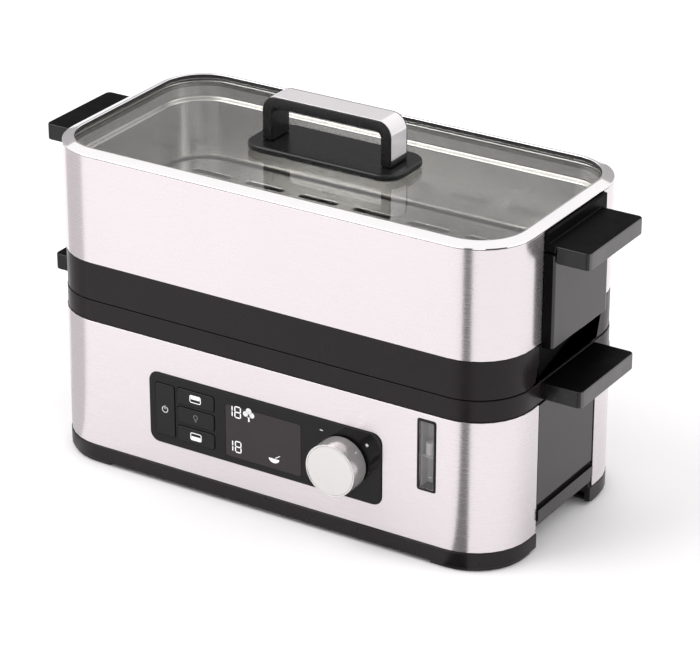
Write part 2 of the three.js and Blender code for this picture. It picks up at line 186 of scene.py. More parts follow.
def spread(tree, value, low, high, start=0.3, end=0.7):
    """Stretches the middle of a noise over a range of values."""
    node = add(tree, "ShaderNodeMapRange", {
        "Value": value, "From Min": start, "From Max": end, "To Min": low, "To Max": high})
    return node.outputs["Result"]


MIX_A, MIX_B, MIX_RESULT = 6, 7, 2  # the colour sockets of a Mix node


def mix_colour(tree, factor, first, second):
    node = add(tree, "ShaderNodeMix", data_type="RGBA")
    tree.links.new(factor, node.inputs[0])
    node.inputs[MIX_A].default_value = (*first, 1)
    node.inputs[MIX_B].default_value = (*second, 1)
    return node.outputs[MIX_RESULT]


def math_node(tree, operation, first, second):
    return add(tree, "ShaderNodeMath", {0: first, 1: second}, operation=operation).outputs[0]


def darker(colour, share):
    return tuple(value * share for value in colour)


def emboss(tree, shader, height, distance, strength=1.0):
    node = add(tree, "ShaderNodeBump", {
        "Height": height, "Distance": distance, "Strength": strength})
    tree.links.new(node.outputs["Normal"], shader.inputs["Normal"])


# ---------------------------------------------------------------- finishes
STEEL = (0.735, 0.69, 0.705)
STEEL_SHADE = (0.69, 0.645, 0.66)
STEEL_GRAIN = (11, 11, 2600)


def brushed_steel(name):
    """Stainless sheet with its grain drawn out along its length and clouded a little."""
    material, tree, shader = blank(name, Metallic=0.84, Anisotropic=0.6, Anisotropic_Rotation=0.25)
    grain = noise(tree, STEEL_GRAIN, 4.0, 0.7)
    cloud = noise(tree, (9, 9, 7), 2.0, 0.5, (3.1, 0.4, 1.7))
    shade = math_node(tree, "ADD", spread(tree, grain, 0.0, 0.7, 0.25, 0.75),
                      spread(tree, cloud, -0.1, 0.3))
    tree.links.new(mix_colour(tree, shade, STEEL_SHADE, STEEL), shader.inputs["Base Color"])
    tree.links.new(spread(tree, grain, 0.2, 0.3), shader.inputs["Roughness"])
    tangent = add(tree, "ShaderNodeTangent", direction_type="RADIAL", axis="Z")
    tree.links.new(tangent.outputs["Tangent"], shader.inputs["Tangent"])
    emboss(tree, shader, grain, 0.000004)
    return material


def polished_steel(name, base, roughness, metallic=1.0):
    """Polished metal with faint wipe marks; below full metallic it takes on a satin whiteness."""
    material, tree, shader = blank(name, Metallic=metallic)
    wipe = noise(tree, (60, 420, 420), 4.0, 0.65)
    cloud = noise(tree, (22, 22, 22), 2.0)
    shade = darker(base, 0.93)
    tree.links.new(mix_colour(tree, cloud, shade, base), shader.inputs["Base Color"])
    tree.links.new(spread(tree, wipe, *roughness), shader.inputs["Roughness"])
    emboss(tree, shader, wipe, 0.000004, 0.5)
    return material


def satin_steel(name, base=(0.58, 0.555, 0.53)):
    """Deep-drawn bowl steel: soft sheen, faint draw lines and water marks."""
    material, tree, shader = blank(name, Metallic=1.0)
    draw = noise(tree, (14, 14, 900), 3.0, 0.6)
    marks = noise(tree, (40, 40, 40), 3.0, 0.5)
    shade = darker(base, 0.93)
    colour = mix_colour(tree, spread(tree, marks, 0, 1), shade, base)
    tree.links.new(colour, shader.inputs["Base Color"])
    rough = math_node(tree, "ADD", spread(tree, draw, 0.17, 0.23), spread(tree, marks, 0.0, 0.04))
    tree.links.new(rough, shader.inputs["Roughness"])
    emboss(tree, shader, draw, 0.000003, 0.5)
    return material


def spun_steel(name, centre):
    """Turned knob face: fine rings about the knob's axis."""
    material, tree, shader = blank(name, Metallic=1.0)
    place = add(tree, "ShaderNodeTexCoord")
    offset = add(tree, "ShaderNodeVectorMath", {0: place.outputs["Object"], 1: tuple(centre)},
                 operation="SUBTRACT")
    flat = add(tree, "ShaderNodeVectorMath", {0: offset.outputs[0], 1: (1, 0, 1)},
               operation="MULTIPLY")
    radius = add(tree, "ShaderNodeVectorMath", {0: flat.outputs[0]}, operation="LENGTH")
    combined = add(tree, "ShaderNodeCombineXYZ", {"X": radius.outputs["Value"]})
    rings = add(tree, "ShaderNodeTexNoise", {
        "Vector": combined.outputs[0], "Scale": 5200.0, "Detail": 2.0}).outputs["Fac"]
    colour = mix_colour(tree, rings, (0.67, 0.65, 0.64), (0.75, 0.735, 0.73))
    tree.links.new(colour, shader.inputs["Base Color"])
    tree.links.new(spread(tree, rings, 0.3, 0.42), shader.inputs["Roughness"])
    emboss(tree, shader, rings, 0.000008, 0.5)
    return material


def plastic(name, dark, light, roughness, grain=900.0, depth=0.00002, ior=1.5):
    """Moulded plastic with a fine spark-eroded texture and uneven gloss."""
    material, tree, shader = blank(name, IOR=ior)
    cloud = noise(tree, (26, 26, 26), 3.0)
    skin = noise(tree, (grain, grain, grain), 2.0)
    tree.links.new(mix_colour(tree, cloud, dark, light), shader.inputs["Base Color"])
    handled = noise(tree, (70, 70, 40), 4.0, 0.6, (0.7, 2.3, 5.1))
    gloss = spread(tree, handled, roughness * 0.82, roughness * 1.18)
    tree.links.new(gloss, shader.inputs["Roughness"])
    emboss(tree, shader, skin, depth, 0.6)
    return material


def gloss_panel(name, base, roughness=(0.03, 0.09)):
    """Smooth lacquered panel with faint finger marks in its gloss."""
    material, tree, shader = blank(name, IOR=1.3)
    marks = noise(tree, (120, 120, 120), 4.0, 0.6)
    cloud = noise(tree, (30, 30, 30), 2.0)
    light = tuple(value * 1.25 for value in base)
    tree.links.new(mix_colour(tree, cloud, base, light), shader.inputs["Base Color"])
    tree.links.new(spread(tree, marks, *roughness), shader.inputs["Roughness"])
    return material


def glass(name, colour, roughness=0.0):
    """Clear pane that lets lamp light through to what is behind it."""
    material, tree, shader = blank(name, IOR=1.5, Transmission_Weight=1.0)
    film = noise(tree, (18, 18, 18), 3.0)
    faint = darker(colour, 0.97)
    tree.links.new(mix_colour(tree, film, faint, colour), shader.inputs["Base Color"])
    smear = noise(tree, (45, 110, 45), 4.0, 0.65)
    tree.links.new(spread(tree, smear, roughness, roughness + 0.02), shader.inputs["Roughness"])
    clear = add(tree, "ShaderNodeBsdfTransparent", {"Color": (*colour, 1)})
    path = add(tree, "ShaderNodeLightPath")
    either = add(tree, "ShaderNodeMixShader", {
        0: path.outputs["Is Shadow Ray"], 1: shader.outputs[0], 2: clear.outputs[0]})
    output = tree.nodes["Material Output"]
    tree.links.new(either.outputs[0], output.inputs["Surface"])
    return material


def printed(name, colour, glow=0.0):
    """Print or lit segments on the panel, slightly uneven in density."""
    material, tree, shader = blank(name, Roughness=0.4)
    density = noise(tree, (900, 900, 900), 2.0)
    faint = darker(colour, 0.88)
    ink = mix_colour(tree, density, faint, colour)
    tree.links.new(ink, shader.inputs["Base Color"])
    tree.links.new(spread(tree, density, 0.32, 0.5), shader.inputs["Roughness"])
    if glow:
        tree.links.new(ink, shader.inputs["Emission Color"])
        shader.inputs["Emission Strength"].default_value = glow
    return material


def floor_finish():
    """Matt pale paper, so that it mirrors none of the cards."""
    material, tree, shader = blank("floor_white", Specular_IOR_Level=0.0)
    cloud = noise(tree, (0.7, 0.7, 0.7), 2.0)
    colour = mix_colour(tree, cloud, (0.93, 0.925, 0.93), (0.95, 0.945, 0.95))
    tree.links.new(colour, shader.inputs["Base Color"])
    tree.links.new(spread(tree, cloud, 0.3, 0.38), shader.inputs["Roughness"])
    return material


def card_finish(name, level):
    """An even glow for a card that only reflections see."""
    material = bpy.data.materials.new(name)
    material.use_nodes = True
    tree = material.node_tree
    colour = (level, level * 0.96, level * 0.98, 1)
    glow = add(tree, "ShaderNodeEmission", {"Color": colour, "Strength": 1.0})
    tree.links.new(glow.outputs[0], tree.nodes["Material Output"].inputs["Surface"])
    return material


CLADDING = brushed_steel("steel_brushed")
RIM_STEEL = polished_steel("steel_polished", (0.95, 0.935, 0.94), (0.06, 0.12), 0.8)
CHROME = polished_steel("chrome", (0.86, 0.84, 0.855), (0.08, 0.16), 0.4)
BOWL_STEEL = satin_steel("steel_satin")
PLATE_STEEL = satin_steel("steel_plate", (0.66, 0.65, 0.64))
SCREW_STEEL = polished_steel("steel_screw", (0.62, 0.61, 0.6), (0.2, 0.35))
KNOB_SIDE = polished_steel("steel_knob", (0.74, 0.71, 0.71), (0.1, 0.2), 0.62)
ELEMENT = polished_steel("element_metal", (0.34, 0.33, 0.32), (0.3, 0.5))
BLACK = plastic("plastic_black", (0.008, 0.0062, 0.0068), (0.0115, 0.0092, 0.01), 0.3, ior=1.32)
BAND = plastic("plastic_band", (0.010, 0.0075, 0.0085), (0.014, 0.011, 0.012), 0.3, ior=1.28)
# A lighter grey copy of the black handle plastic: painted light for the handles' outward ends, where
# the lamp falls on them.
PAINTED_LIGHT_END = plastic("plastic_end_painted_light", (0.068, 0.066, 0.068), (0.092, 0.089, 0.092), 0.4, 1100.0, 0.00001)
# Dark grey laid on the lid rim's inner faces: painted shade, where shadow falls inside the rim.
RIM_PAINTED_SHADE = plastic("rim_painted_shade", (0.012, 0.012, 0.013), (0.022, 0.021, 0.022), 0.35, 600.0, 0.00001)
# Near-black plastic that hardly reflects: painted shade, laid on recesses, the end panels' sides and
# the handle tops and roots.
PAINTED_SHADE = plastic("plastic_painted_shade", (0.0015, 0.0014, 0.0015), (0.003, 0.0028, 0.003), 0.5, ior=1.15)
PANEL = plastic("plastic_panel", (0.017, 0.0142, 0.0152), (0.022, 0.0185, 0.0198), 0.2,
                1400.0, 0.000008, 1.45)
GRIP = plastic("plastic_grip", (0.004, 0.004, 0.0045), (0.007, 0.0068, 0.0075), 0.26,
               1100.0, 0.00002, 1.42)
DARK = plastic("plastic_dark", (0.02, 0.02, 0.021), (0.032, 0.032, 0.033), 0.5)
GLOSS = gloss_panel("gloss_black", (0.006, 0.0055, 0.006))
KEY = gloss_panel("key_black", (0.009, 0.0085, 0.009), (0.12, 0.2))
SCREEN = gloss_panel("display_smoke", (0.03, 0.0245, 0.0265), (0.08, 0.14))
SCREEN_BACK = gloss_panel("display_back", (0.02, 0.02, 0.022), (0.3, 0.4))
GLASS = glass("lid_glass", (0.965, 0.985, 0.975))
WINDOW_GLASS = glass("window_glass", (0.78, 0.765, 0.775), 0.08)
RUBBER = plastic("rubber_black", (0.012, 0.012, 0.012), (0.022, 0.021, 0.021), 0.75, 700.0, 0.00005)
SILICONE = plastic("silicone_grey", (0.1, 0.1, 0.105), (0.15, 0.15, 0.155), 0.5, 600.0, 0.00002)
PALE = plastic("plastic_pale", (0.6, 0.6, 0.58), (0.7, 0.7, 0.68), 0.45)
FLOAT = plastic("plastic_float", (0.72, 0.72, 0.7), (0.82, 0.82, 0.8), 0.4)
BOARD = plastic("board_green", (0.012, 0.07, 0.03), (0.02, 0.1, 0.045), 0.4, 1600.0, 0.00003)
LIT = printed("segments_lit", (0.8, 0.82, 0.8), 0.35)
MARK = printed("marks_white", (0.75, 0.76, 0.75), 0.08)
FAINT = printed("marks_grey", (0.16, 0.16, 0.16))


# ---------------------------------------------------------------- mesh helpers
WELD_WITHIN = 0.002 * MM
CAD_WELD_WITHIN = 0.01 * MM
FLAT_WITHIN = math.radians(0.8)
CORNER_ABOVE = math.radians(34.0)


def weld(mesh):
    tidy = bmesh.new()
    tidy.from_mesh(mesh)
    bmesh.ops.remove_doubles(tidy, verts=tidy.verts, dist=WELD_WITHIN)
    bmesh.ops.recalc_face_normals(tidy, faces=tidy.faces)
    tidy.to_mesh(mesh)
    tidy.free()
    return mesh


def show(name, mesh, material, body, replaced=(), sharp=48.0):
    """Links a finished mesh as a piece that rides on a body, smooth except at its sharp edges."""
    piece = link(name, mesh)
    mesh.materials.clear()
    mesh.materials.append(material)
    mesh.shade_smooth()
    mesh.set_sharp_from_angle(angle=math.radians(sharp))
    weighted = piece.modifiers.new("weighted", "WEIGHTED_NORMAL")
    weighted.keep_sharp = True
    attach(piece, body)
    if replaced:
        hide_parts(*replaced)
    return piece


def refine(node, material, bevel, segments=2, rounds=None):
    """A smooth copy of a CAD node with its edges rounded, in its place and on its body.
    Where it is given, rounds says of an edge whether it is rounded."""
    mesh = NODES[node].data.copy()
    mesh.name = node + "_fine"
    tidy = bmesh.new()
    tidy.from_mesh(mesh)
    bmesh.ops.remove_doubles(tidy, verts=tidy.verts, dist=CAD_WELD_WITHIN)
    bmesh.ops.dissolve_limit(tidy, angle_limit=FLAT_WITHIN, verts=tidy.verts, edges=tidy.edges)
    edges = [e for e in tidy.edges if e.is_manifold and e.calc_face_angle() > CORNER_ABOVE
             and (rounds is None or rounds(e))]
    if bevel:
        bmesh.ops.bevel(tidy, geom=edges, offset=bevel * MM, offset_type="OFFSET",
                        segments=segments, profile=0.5, affect="EDGES", clamp_overlap=False)
    bmesh.ops.triangulate(tidy, faces=[f for f in tidy.faces if len(f.verts) > 4])
    tidy.to_mesh(mesh)
    tidy.free()
    mesh.validate()
    return show(node + "_fine", mesh, material, BODY_OF[node], [node])


def box_centre(node):
    """The middle of a CAD node's box and half its size."""
    low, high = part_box(node)
    return (low + high) / 2, (high - low) / 2


def paint(piece, material, chosen):
    """Gives another finish to the faces that are chosen by their normal and centre."""
    piece.data.materials.append(material)
    index = len(piece.data.materials) - 1
    for face in piece.data.polygons:
        if chosen(face.normal, face.center):
            face.material_index = index


def beyond(axis, reach):
    """Chooses edges that go further out than a reach along an axis."""
    return lambda edge: any(abs(vertex.co[axis]) > reach for vertex in edge.verts)


def looks_out(reach):
    """Chooses faces that look outwards along X from beyond a reach."""
    return lambda normal, centre: abs(normal.x) > 0.7 and abs(centre.x) > reach


def rounded(half_x, half_y, radius, centre=(0.0, 0.0), steps=14):
    """Points and outward normals round a rectangle with rounded corners, anticlockwise."""
    points = []
    for sx, sy, start in ((1, -1, -90), (1, 1, 0), (-1, 1, 90), (-1, -1, 180)):
        for i in range(steps + 1):
            angle = math.radians(start + 90 * i / steps)
            normal = (math.cos(angle), math.sin(angle))
            x = centre[0] + sx * (half_x - radius) + radius * normal[0]
            y = centre[1] + sy * (half_y - radius) + radius * normal[1]
            points.append(((x, y), normal))
    return points


def outline(half_x, half_y, radius, centre=(0.0, 0.0), grow=0.0, steps=8):
    """Just the points of a rounded rectangle, grown or shrunk all round."""
    radius = max(radius + grow, 0.02 * MM)
    return [p for p, _ in rounded(half_x + grow, half_y + grow, radius, centre, steps)]


def disc(radius, centre, steps=40):
    return [(centre[0] + radius * math.cos(2 * math.pi * i / steps),
             centre[1] + radius * math.sin(2 * math.pi * i / steps)) for i in range(steps)]


def soften(profile, steps=4):
    """A closed section with each corner (inset, z, radius) rounded by its radius."""
    result = []
    count = len(profile)
    for i, (x, z, radius) in enumerate(profile):
        here = Vector((x, z))
        if radius <= 0:
            result.append((x, z))
            continue
        before = Vector(profile[i - 1][:2]) - here
        after = Vector(profile[(i + 1) % count][:2]) - here
        reach = min(radius, before.length * 0.49, after.length * 0.49)
        start, end = here + before.normalized() * reach, here + after.normalized() * reach
        for k in range(steps + 1):
            t = k / steps
            point = start * (1 - t) ** 2 + here * 2 * t * (1 - t) + end * t ** 2
            result.append((point.x, point.y))
    return result


def sweep(name, path, profile):
    """A closed section carried round a closed path; the section is in (inset, z)."""
    mesh = bpy.data.meshes.new(name)
    vertices, faces = [], []
    for (x, y), (nx, ny) in path:
        for inset, z in profile:
            vertices.append((x - nx * inset, y - ny * inset, z))
    rows, size = len(path), len(profile)
    for i in range(rows):
        following = (i + 1) % rows
        for k in range(size):
            after = (k + 1) % size
            faces.append((i * size + k, following * size + k,
                          following * size + after, i * size + after))
    mesh.from_pydata(vertices, [], faces)
    return weld(mesh)


def plate(name, rings, low, high, bevel=0.0, upright=False):
    """A flat piece between two heights from closed outlines; an outline inside another is a hole.
    Its edges bulge by the bevel, so the outlines come that much smaller. Upright, heights run
    to -Y."""
    curve = bpy.data.curves.new(name, "CURVE")
    curve.dimensions = "2D"
    curve.fill_mode = "BOTH"
    curve.extrude = (high - low) / 2 - bevel
    curve.bevel_depth = bevel
    curve.bevel_resolution = 2
    for ring in rings:
        spline = curve.splines.new("POLY")
        spline.points.add(len(ring) - 1)
        for point, (x, y) in zip(spline.points, ring):
            point.co = (x, y, 0, 1)
        spline.use_cyclic_u = True
    holder = link(name, curve)
    graph = bpy.context.evaluated_depsgraph_get()
    mesh = bpy.data.meshes.new_from_object(holder.evaluated_get(graph))
    bpy.data.objects.remove(holder)
    bpy.data.curves.remove(curve)
    mesh.name = name
    mesh.transform(Matrix.Translation((0, 0, (low + high) / 2)))
    if upright:
        mesh.transform(Matrix.Rotation(math.pi / 2, 4, "X"))
    return weld(mesh)


def lathe(name, profile, centre, steps=96):
    """A section (radius, y) turned about an axis along Y."""
    mesh = bpy.data.meshes.new(name)
    vertices, faces = [], []
    for i in range(steps):
        angle = 2 * math.pi * i / steps
        for radius, y in profile:
            vertices.append((centre[0] + radius * math.cos(angle), y,
                             centre[1] + radius * math.sin(angle)))
    size = len(profile)
    for i in range(steps):
        following = (i + 1) % steps
        for k in range(size - 1):
            faces.append((i * size + k, i * size + k + 1,
                          following * size + k + 1, following * size + k))
    mesh.from_pydata(vertices, [], faces)
    return weld(mesh)


def joined(name, *meshes):
    """One mesh of closed shells that keep their own surfaces."""
    whole = bmesh.new()
    for mesh in meshes:
        whole.from_mesh(mesh)
    result = bpy.data.meshes.new(name)
    whole.to_mesh(result)
    whole.free()
    return result


# ---------------------------------------------------------------- steel and plastic shells
RECESS_DEPTH = 1.0 * MM      # of the collar's end faces behind its outline
RECESS_FOOT = 117.5 * MM
BASE_PANEL_FACE = 170.3 * MM  # the end panels' shaded sides lie nearer the middle than these
UPPER_PANEL_FACE = 174 * MM
SHELF_ROOT = 171.5 * MM
SHELF_SHADE = 176 * MM
SHELF_END = 190 * MM
LENGTH, DEPTH = 0, 1  # axes


def make_shells():
    for tier in ("base", "upper"):
        for face in ("front", "rear"):
            refine(f"{tier}_{face}_cladding", CLADDING, 0.22)
    refine("chassis", BLACK, 0.7)
    refine("bottom_cover", DARK, 0.4)
    refine("lower_rim", BAND, 0.5)
    collar = refine("upper_collar", BAND, 0.5)
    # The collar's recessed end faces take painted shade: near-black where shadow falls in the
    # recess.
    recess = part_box("upper_collar")[1].x - RECESS_DEPTH
    paint(collar, PAINTED_SHADE, lambda normal, centre: (
        abs(normal.x) > 0.7 and abs(abs(centre.x) - recess) < 0.5 * MM and centre.z > RECESS_FOOT))
    for side in ("right", "left"):
        # Each end panel is painted shade all over except its outward face, which keeps the panel
        # plastic.
        end = refine(f"base_end_panel_{side}", PAINTED_SHADE, 0.3)
        paint(end, PANEL, looks_out(BASE_PANEL_FACE))
        end = refine(f"upper_end_panel_{side}", PAINTED_SHADE, 0.9, 3)
        paint(end, PANEL, looks_out(UPPER_PANEL_FACE))
        for tier in ("lower", "upper"):
            shelf = refine(f"{tier}_handle_{side}", GRIP, 0.9, 3,
                           beyond(LENGTH, SHELF_ROOT))
            # The handles' outward ends take painted light; their tops and the faces near their roots
            # take painted shade.
            paint(shelf, PAINTED_LIGHT_END, looks_out(SHELF_END))
            paint(shelf, PAINTED_SHADE, lambda normal, centre: (
                normal.z > 0.9 or abs(centre.x) < SHELF_SHADE))
    for label in ("fl", "fr", "rl", "rr"):
        refine(f"foot_{label}", RUBBER, 0.5)


def make_inner_parts():
    refine("water_tank", DARK, 0.5)
    refine("heater_plate", PLATE_STEEL, 0.4)
    refine("heating_element", ELEMENT, 0)
    refine("thermostat", PALE, 0.3)
    refine("control_board", BOARD, 0.15)
    refine("encoder_body", DARK, 0.4)
    refine("knob_shaft", SCREW_STEEL, 0.3)
    refine("display_module", SCREEN_BACK, 0.3)
    refine("level_channel", PALE, 0.2)
    refine("level_float", FLOAT, 0.4)
    refine("cord_gland", RUBBER, 0.4)
    for i in range(1, 5):
        refine(f"cover_screw_{i}", SCREW_STEEL, 0.12)


# ---------------------------------------------------------------- bowls and tray
SHEET = 1.2 * MM


def slot_rings(count, pitch, half, grow):
    """Rows of round-ended slots about the middle."""
    rings = []
    for i in range(count[0]):
        for j in range(count[1]):
            centre = ((i - (count[0] - 1) / 2) * pitch[0], (j - (count[1] - 1) / 2) * pitch[1])
            rings.append(outline(half[0], half[1], half[1], centre, grow, 6))
    return rings


def make_upper_bowl():
    low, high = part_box("upper_bowl")
    flange = (high.x, high.y, 36.4 * MM)
    lip, wall, ledge = 3.4 * MM, 4.6 * MM, 8.6 * MM
    top, bottom = high.z, low.z
    shelf = bottom + 49.2 * MM
    thick = SHEET
    section = soften([
        (0, top, 0.8 * MM), (wall, top, 1.6 * MM), (wall, shelf, 1.6 * MM),
        (ledge, shelf, 1.6 * MM), (ledge, bottom + thick, 5 * MM),
        (ledge + 9 * MM, bottom + thick, 0), (ledge + 9 * MM, bottom, 0),
        (ledge - thick, bottom, 6 * MM),
        (ledge - thick, shelf - thick, 1.2 * MM), (lip, shelf - thick, 1.2 * MM),
        (lip, top - 1.8 * MM, 0.8 * MM), (0, top - 1.8 * MM, 0.8 * MM)])
    path = rounded(*flange)
    walls = sweep("upper_bowl_walls", path, section)
    edge = 0.25 * MM
    inset = ledge + 8.8 * MM
    floor = outline(flange[0] - inset, flange[1] - inset, flange[2] - inset, (0, 0), -edge)
    rings = slot_rings((6, 3), (50 * MM, 42 * MM), (17 * MM, 2.8 * MM), edge)
    base = plate("upper_bowl_floor", [floor, *rings], bottom, bottom + thick, edge)
    whole = joined("upper_bowl_fine", walls, base)
    show("upper_bowl_fine", whole, BOWL_STEEL, "upper_tier", ["upper_bowl"])


def make_tray():
    low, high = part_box("steam_tray")
    radius, thick, edge, lap = 25 * MM, SHEET, 0.3 * MM, 3.8 * MM
    top = high.z
    section = soften([
        (0, low.z, 0.4 * MM), (0, top, 1.6 * MM), (4 * MM, top, 0), (4 * MM, top - thick, 0),
        (thick, top - thick, 1 * MM), (thick, low.z, 0.4 * MM)])
    skirt = sweep("tray_skirt", rounded(high.x, high.y, radius), section)
    inner = outline(high.x - lap, high.y - lap, radius - lap, (0, 0), -edge)
    rings = slot_rings((7, 4), (42 * MM, 31 * MM), (15 * MM, 2.8 * MM), edge)
    top_plate = plate("tray_plate", [inner, *rings], top - thick, top, edge)
    whole = joined("steam_tray_fine", skirt, top_plate)
    show("steam_tray_fine", whole, PLATE_STEEL, "tray", ["steam_tray"])


# ---------------------------------------------------------------- lid
STRIP_SEAT = 9.6 * MM  # the bail's edges nearer the middle belong to the strip's seat and stay crisp
RIM_WIDTH = 8 * MM
RIM_LEDGE = 5 * MM


def make_lid():
    low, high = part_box("lid_rim")
    spec = (high.x, high.y, 37.7 * MM)
    under = high.z - 3.0 * MM
    section = soften([
        (0, low.z, 0.2 * MM), (0, low.z + 0.8 * MM, 0.7 * MM), (6.6 * MM, high.z, 2.6 * MM),
        (RIM_WIDTH, high.z - 0.2 * MM, 0.9 * MM), (RIM_WIDTH, under, 0.3 * MM),
        (RIM_LEDGE, under, 0), (RIM_LEDGE, low.z, 0.3 * MM)], 5)
    mesh = sweep("lid_rim_fine", rounded(*spec, steps=18), section)
    rim = show("lid_rim_fine", mesh, RIM_STEEL, "lid", ["lid_rim"])
    inner = [reach - 7 * MM for reach in spec[:2]]
    # The rim's inner faces below its top take painted shade.
    paint(rim, RIM_PAINTED_SHADE, lambda normal, centre: (
        abs(normal.z) < 0.4 and centre.z < high.z - 0.5 * MM
        and abs(centre.x) < inner[0] and abs(centre.y) < inner[1]))

    low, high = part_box("lid_glass")
    edge = 0.7 * MM
    posts = [box_centre(f"handle_screw_{side}")[0].x for side in ("left", "right")]
    holes = [disc(3 * MM + edge, (x, 0)) for x in posts]
    border = outline(high.x, high.y, 32.4 * MM, grow=-edge, steps=16)
    pane = plate("lid_glass_fine", [border, *holes], low.z, high.z, edge)
    show("lid_glass_fine", pane, GLASS, "lid", ["lid_glass"])
    refine("lid_gasket", SILICONE, 0.5)

    low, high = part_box("handle_base")
    edge = 1.6 * MM
    border = outline(high.x, high.y, 14 * MM, grow=-edge, steps=16)
    foot = plate("handle_base_fine", [border], low.z, high.z, edge)
    show("handle_base_fine", foot, GRIP, "lid", ["handle_base"])
    refine("handle_bail", GRIP, 0.75, 3, beyond(DEPTH, STRIP_SEAT))
    refine("handle_strip", CHROME, 0.25)
    for side in ("right", "left"):
        refine(f"handle_screw_{side}", SCREW_STEEL, 0.3)


# ---------------------------------------------------------------- controls
FRONT_PRINT = 0.06 * MM
PRINT_SINK = 0.02 * MM
KEY_GAP = 0.35 * MM


def print_on(name, polygons, front, material, body):
    """Thin print or lit segments that stand a hair in front of the surface at y = front."""
    mesh = plate(name, polygons, -front - PRINT_SINK, -front + FRONT_PRINT, 0.0, True)
    show(name, mesh, material, body, sharp=30)


def arc(radius, start, end, centre, width, steps=28):
    """A curved stroke as one closed outline; angles in degrees."""
    angles = [math.radians(start + (end - start) * i / steps) for i in range(steps + 1)]
    outer, inner = radius + width / 2, radius - width / 2
    points = [(centre[0] + outer * math.cos(a), centre[1] + outer * math.sin(a)) for a in angles]
    points += [(centre[0] + inner * math.cos(a), centre[1] + inner * math.sin(a))
               for a in reversed(angles)]
    return points


def bar(x, z, half_x, half_z):
    return [(x - half_x, z - half_z), (x + half_x, z - half_z),
            (x + half_x, z + half_z), (x - half_x, z + half_z)]


SEGMENTS = {"1": "bc", "8": "abcdefg"}


def digit(character, x, z, width, height, stroke):
    """A seven-segment digit with its lower left corner at x, z."""
    gap = stroke * 0.18
    middle = z + height / 2
    runs = {
        "a": ((x, z + height), (x + width, z + height)), "g": ((x, middle), (x + width, middle)),
        "d": ((x, z), (x + width, z)), "f": ((x, middle), (x, z + height)),
        "b": ((x + width, middle), (x + width, z + height)), "e": ((x, z), (x, middle)),
        "c": ((x + width, z), (x + width, middle)),
    }
    polygons = []
    for letter in SEGMENTS[character]:
        start, end = Vector(runs[letter][0]), Vector(runs[letter][1])
        along = (end - start).normalized()
        across = Vector((-along.y, along.x)) * stroke / 2
        start, end = start + along * gap, end - along * gap
        tip = along * stroke / 2
        corners = (start, start + tip - across, end - tip - across,
                   end, end - tip + across, start + tip + across)
        polygons.append([tuple(corner) for corner in corners])
    return polygons


def make_controls():
    centre, half = box_centre("control_fascia")
    front, back = centre.y - half.y, centre.y + half.y
    edge = 0.3 * MM
    keys = ["power_button", "upper_bowl_button", "light_button", "lower_bowl_button"]
    rings = [outline(half.x, half.z, 6.7 * MM, (centre.x, centre.z), -edge, 12)]
    for node in keys:
        spot, size = box_centre(node)
        rings.append(outline(size.x + KEY_GAP, size.z + KEY_GAP, 1.8 * MM, (spot.x, spot.z), edge))
    pane_at, pane = box_centre("display_window")
    rings.append(outline(
        pane.x + KEY_GAP, pane.z + KEY_GAP, 1.5 * MM, (pane_at.x, pane_at.z), edge * 0.5))
    knob_at, knob = box_centre("knob")
    rings.append(disc(4.4 * MM + edge, (knob_at.x, knob_at.z)))
    fascia = plate("control_fascia_fine", rings, -back, -front, edge, True)
    show("control_fascia_fine", fascia, GLOSS, "base", ["control_fascia"])
    edge = 0.1 * MM
    border = outline(pane.x, pane.z, 1.2 * MM, (pane_at.x, pane_at.z), -edge)
    screen = plate("display_window_fine", [border], -back, -front, edge, True)
    show("display_window_fine", screen, SCREEN, "base", ["display_window"])
    make_keys(keys)
    make_display_marks(front, knob_at)
    make_knob(knob_at, knob)


def make_keys(keys):
    for node in keys:
        spot, size = box_centre(node)
        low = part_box(node)[0]
        edge = 0.5 * MM
        cap = plate(node + "_cap", [outline(size.x, size.z, 1.5 * MM, (spot.x, spot.z), -edge)],
                    -low.y - 2.8 * MM, -low.y, edge, True)
        root, end = low.y + 2.6 * MM, low.y + 9.9 * MM
        profile = [(0, root), (2 * MM, root), (2 * MM, end - 0.3 * MM), (1.6 * MM, end), (0, end)]
        stem = lathe(node + "_stem", profile, (spot.x, spot.z), 32)
        whole = joined(node + "_fine", cap, stem)
        show(node + "_fine", whole, KEY, BODY_OF[node], [node])
    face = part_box("power_button")[0].y
    at, _ = box_centre("power_button")
    ring = arc(2.1 * MM, 118, 422, (at.x, at.z + 0.4 * MM), 0.5 * MM)
    stroke = bar(at.x, at.z + 1.9 * MM, 0.25 * MM, 1.3 * MM)
    print_on("power_mark", [ring, stroke], face, MARK, "power_key")
    for node, sign in (("upper_bowl_button", 1), ("lower_bowl_button", -1)):
        at, _ = box_centre(node)
        half_x, half_z, stroke = 4.3 * MM, 2.7 * MM, 0.55 * MM
        frame_out = outline(half_x, half_z, 1.3 * MM, (at.x, at.z), steps=6)
        frame_in = outline(half_x, half_z, 1.3 * MM, (at.x, at.z), -stroke, 6)
        fill_at = (at.x, at.z + sign * half_z * 0.36)
        fill = outline(half_x - stroke * 1.5, half_z * 0.42, 0.4 * MM, fill_at, steps=4)
        rings = [frame_out, frame_in, fill]
        print_on(node.replace("button", "mark"), rings, face, LIT, BODY_OF[node])
    at, _ = box_centre("light_button")
    bulb = [disc(radius, (at.x, at.z + 0.7 * MM), 28) for radius in (1.7 * MM, 1.25 * MM)]
    base = [bar(at.x, at.z - 1.5 * MM, 0.8 * MM, 0.22 * MM),
            bar(at.x, at.z - 2.3 * MM, 0.6 * MM, 0.2 * MM)]
    print_on("light_mark", [*bulb, *base], face, FAINT, "light_key")


